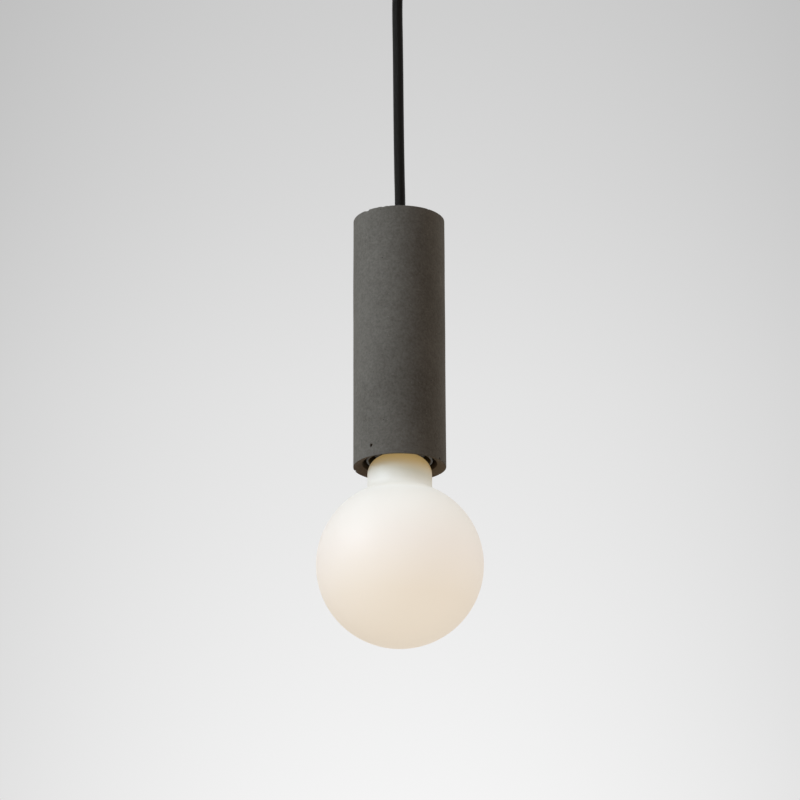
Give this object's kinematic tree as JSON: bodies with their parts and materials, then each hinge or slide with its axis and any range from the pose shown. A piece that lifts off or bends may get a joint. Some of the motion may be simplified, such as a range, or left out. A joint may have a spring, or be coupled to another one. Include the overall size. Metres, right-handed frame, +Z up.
{
  "type": "pendant ceiling light",
  "caption": "Pendant lamp: a cast-concrete tube on a textile cord from a round ceiling canopy, with an opal globe bulb screwed into its open lower end.",
  "frame": {"origin": "on the lamp's axis in the ceiling plane, midway between the two ceiling screws", "axes": "+Z up into the ceiling, the lamp hangs along -Z; X runs through the two ceiling screws"},
  "size_m": [0.125, 0.125, 0.5921],
  "materials": {
    "cast_concrete": "matte, fine sandy grain with small air holes",
    "black_textile": "braided textile cover",
    "opal_glass": "opal white, satin",
    "clear_glass": "clear",
    "black_paint": "black powder coat",
    "dark_paint": "dark grey satin paint",
    "zinc_steel": "zinc plated",
    "brass": "bright",
    "nickel_cap": "nickel plated",
    "black_plastic": "moulded, fine texture",
    "phenolic": "dark moulded phenolic",
    "white_plastic": "natural polyamide",
    "black_glass": "vitrified black",
    "black_rubber": "matte",
    "core_brown": "satin",
    "core_blue": "satin",
    "core_green_yellow": "satin, striped",
    "led_phosphor": "silicone with phosphor",
    "circuit_board": "solder mask"
  },
  "bodies": {
    "ceiling_rose": {"ceiling_bracket": "zinc_steel", "canopy_cup": "black_paint", "canopy_screws": "black_paint", "gland_body": "black_plastic", "gland_locknut": "black_plastic", "gland_screw": "black_plastic", "terminal_block": "white_plastic", "terminal_sleeves": "brass", "terminal_screws": "zinc_steel", "terminal_block_screw": "zinc_steel", "earth_screw": "brass", "earth_tag": "zinc_steel", "live_core_top": "core_brown", "neutral_core_top": "core_blue", "earth_core_top": "core_green_yellow", "cord_in_canopy": "black_textile"},
    "cord_twister": {"cord_top": "black_textile"},
    "pendant": {"cord": "black_textile", "cord_inside": "black_textile", "concrete_body": "cast_concrete", "cord_bush": "black_plastic", "ring_nut": "zinc_steel", "threaded_rod": "zinc_steel", "rubber_washer": "black_rubber", "steel_washer": "zinc_steel", "under_nut": "zinc_steel", "cord_grip": "white_plastic", "cord_grip_screw": "white_plastic", "lampholder_dome": "dark_paint", "dome_grub_screw": "zinc_steel", "dome_earth_screw": "brass", "lampholder_skirt": "dark_paint", "lampholder_insert": "phenolic", "screw_shell": "brass", "centre_contact": "brass", "terminal_posts": "brass", "post_screws": "zinc_steel", "live_core": "core_brown", "neutral_core": "core_blue", "earth_core": "core_green_yellow"},
    "bulb_tip": {"bulb_cap_insulator": "black_glass", "bulb_contact": "nickel_cap"},
    "bulb": {"bulb_globe": "opal_glass", "bulb_cap": "nickel_cap", "bulb_stem": "clear_glass", "filament_supports": "zinc_steel", "led_filaments": "led_phosphor", "driver_board": "circuit_board"}
  },
  "joints": [
    {"name": "pendant_twist", "type": "hinge", "parent": "ceiling_rose", "child": "cord_twister", "pos_m": [0, 0, -0.048], "axis": [0, 0, 1], "range_deg": [-180, 180]},
    {"name": "pendant_swing", "type": "hinge", "parent": "cord_twister", "child": "pendant", "pos_m": [0, 0, -0.048], "axis": [0, 1, 0], "range_deg": [-25, 25]},
    {"name": "bulb_travel", "type": "slide", "parent": "pendant", "child": "bulb_tip", "axis": [0, 0, -1], "range_m": [0, 0.02]},
    {"name": "bulb_turn", "type": "hinge", "parent": "bulb_tip", "child": "bulb", "pos_m": [0, 0, -0.5], "axis": [0, 0, -1], "range_deg": [0, 1980]}
  ],
  "couplings": [
    {"joint": "bulb_travel", "follows": "bulb_turn", "m_per_rad": 0.00057757}
  ]
}
